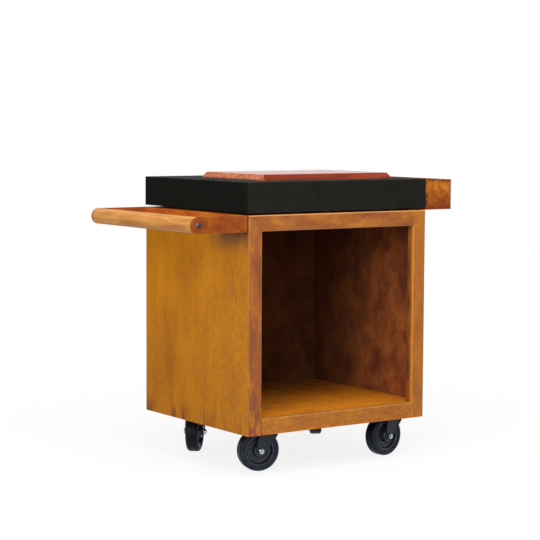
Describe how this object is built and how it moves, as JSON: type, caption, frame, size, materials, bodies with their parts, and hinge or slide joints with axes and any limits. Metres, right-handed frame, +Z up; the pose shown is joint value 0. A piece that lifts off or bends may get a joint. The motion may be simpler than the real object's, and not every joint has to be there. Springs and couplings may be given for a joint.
{
  "type": "prep table",
  "caption": "Movable outdoor prep table: open weathering steel cabinet on swivel casters, thick black worktop, wooden push bar, herb planter and loose chopping board.",
  "frame": {"origin": "on the ground, in the middle of the whole length and depth", "axes": "+X along the length towards the planter, -Y towards the open front, +Z up"},
  "size_m": [0.995, 0.6102, 0.918],
  "materials": {
    "weathered_side": "matte",
    "weathered_frame": "matte",
    "weathered_floor": "matte",
    "weathered_arm": "matte",
    "weathered_planter": "matte",
    "bar_steel": "matte",
    "black_stone": "matte",
    "board_wood": "satin",
    "grip_wood": "satin",
    "insert_brass": "satin",
    "bolt_steel": "satin",
    "zinc_steel": "satin",
    "pad_rubber": "matte",
    "caster_steel": "satin",
    "wheel_plastic": "satin",
    "tyre_rubber": "matte"
  },
  "bodies": {
    "table": {"left_side_panel": "weathered_side", "right_side_panel": "weathered_side", "front_top_rail": "weathered_frame", "front_bottom_rail": "weathered_frame", "back_panel": "weathered_side", "storage_floor": "weathered_floor", "top_panel": "weathered_side", "caster_bar_left": "bar_steel", "caster_bar_right": "bar_steel", "worktop_deck": "black_stone", "worktop_apron_front": "black_stone", "worktop_apron_back": "black_stone", "worktop_apron_left": "black_stone", "worktop_apron_right": "black_stone", "worktop_carrier": "bar_steel", "bedding_pads": "pad_rubber", "handle_arm_front": "weathered_arm", "handle_arm_rear": "weathered_arm", "handle_grip": "grip_wood", "grip_inserts": "insert_brass", "grip_bolts": "bolt_steel", "foot_bolts": "bolt_steel", "foot_nuts": "zinc_steel", "planter_walls": "weathered_planter", "planter_base": "weathered_planter", "planter_bolts": "zinc_steel", "kingpins": "zinc_steel", "swivel_balls": "zinc_steel", "caster_bolts": "zinc_steel", "caster_plate_front_left": "caster_steel", "caster_plate_front_right": "caster_steel", "caster_plate_rear_left": "caster_steel", "caster_plate_rear_right": "caster_steel"},
    "swivel_front_left": {"fork_front_left": "caster_steel", "axle_sleeve_front_left": "zinc_steel", "axle_bolt_front_left": "zinc_steel"},
    "wheel_front_left": {"wheel_core_front_left": "wheel_plastic", "tyre_front_left": "tyre_rubber"},
    "swivel_front_right": {"fork_front_right": "caster_steel", "axle_sleeve_front_right": "zinc_steel", "axle_bolt_front_right": "zinc_steel"},
    "wheel_front_right": {"wheel_core_front_right": "wheel_plastic", "tyre_front_right": "tyre_rubber"},
    "swivel_rear_left": {"fork_rear_left": "caster_steel", "axle_sleeve_rear_left": "zinc_steel", "axle_bolt_rear_left": "zinc_steel"},
    "wheel_rear_left": {"wheel_core_rear_left": "wheel_plastic", "tyre_rear_left": "tyre_rubber"},
    "swivel_rear_right": {"fork_rear_right": "caster_steel", "axle_sleeve_rear_right": "zinc_steel", "axle_bolt_rear_right": "zinc_steel"},
    "wheel_rear_right": {"wheel_core_rear_right": "wheel_plastic", "tyre_rear_right": "tyre_rubber"},
    "board": {"chopping_board": "board_wood"}
  },
  "joints": [
    {"name": "swivel_front_left_turn", "type": "hinge", "parent": "table", "child": "swivel_front_left", "pos_m": [-0.1605, -0.203, 0.15], "axis": [0, 0, 1], "continuous": true},
    {"name": "wheel_front_left_roll", "type": "hinge", "parent": "swivel_front_left", "child": "wheel_front_left", "pos_m": [-0.1867, -0.19647, 0.065], "axis": [0.2419, 0.9703, 0], "continuous": true},
    {"name": "swivel_front_right_turn", "type": "hinge", "parent": "table", "child": "swivel_front_right", "pos_m": [0.3275, -0.203, 0.15], "axis": [0, 0, 1], "continuous": true},
    {"name": "wheel_front_right_roll", "type": "hinge", "parent": "swivel_front_right", "child": "wheel_front_right", "pos_m": [0.30065, -0.20582, 0.065], "axis": [-0.1045, 0.9945, 0], "continuous": true},
    {"name": "swivel_rear_left_turn", "type": "hinge", "parent": "table", "child": "swivel_rear_left", "pos_m": [-0.1605, 0.203, 0.15], "axis": [0, 0, 1], "continuous": true},
    {"name": "wheel_rear_left_roll", "type": "hinge", "parent": "swivel_rear_left", "child": "wheel_rear_left", "pos_m": [-0.17891, 0.18325, 0.065], "axis": [-0.7314, 0.682, 0], "continuous": true},
    {"name": "swivel_rear_right_turn", "type": "hinge", "parent": "table", "child": "swivel_rear_right", "pos_m": [0.3275, 0.203, 0.15], "axis": [0, 0, 1], "continuous": true},
    {"name": "wheel_rear_right_roll", "type": "hinge", "parent": "swivel_rear_right", "child": "wheel_rear_right", "pos_m": [0.34299, 0.22512, 0.065], "axis": [0.8192, -0.5736, 0], "continuous": true},
    {"name": "board_lift", "type": "slide", "parent": "table", "child": "board", "axis": [0, 0, 1], "range_m": [0, 0.15]}
  ]
}
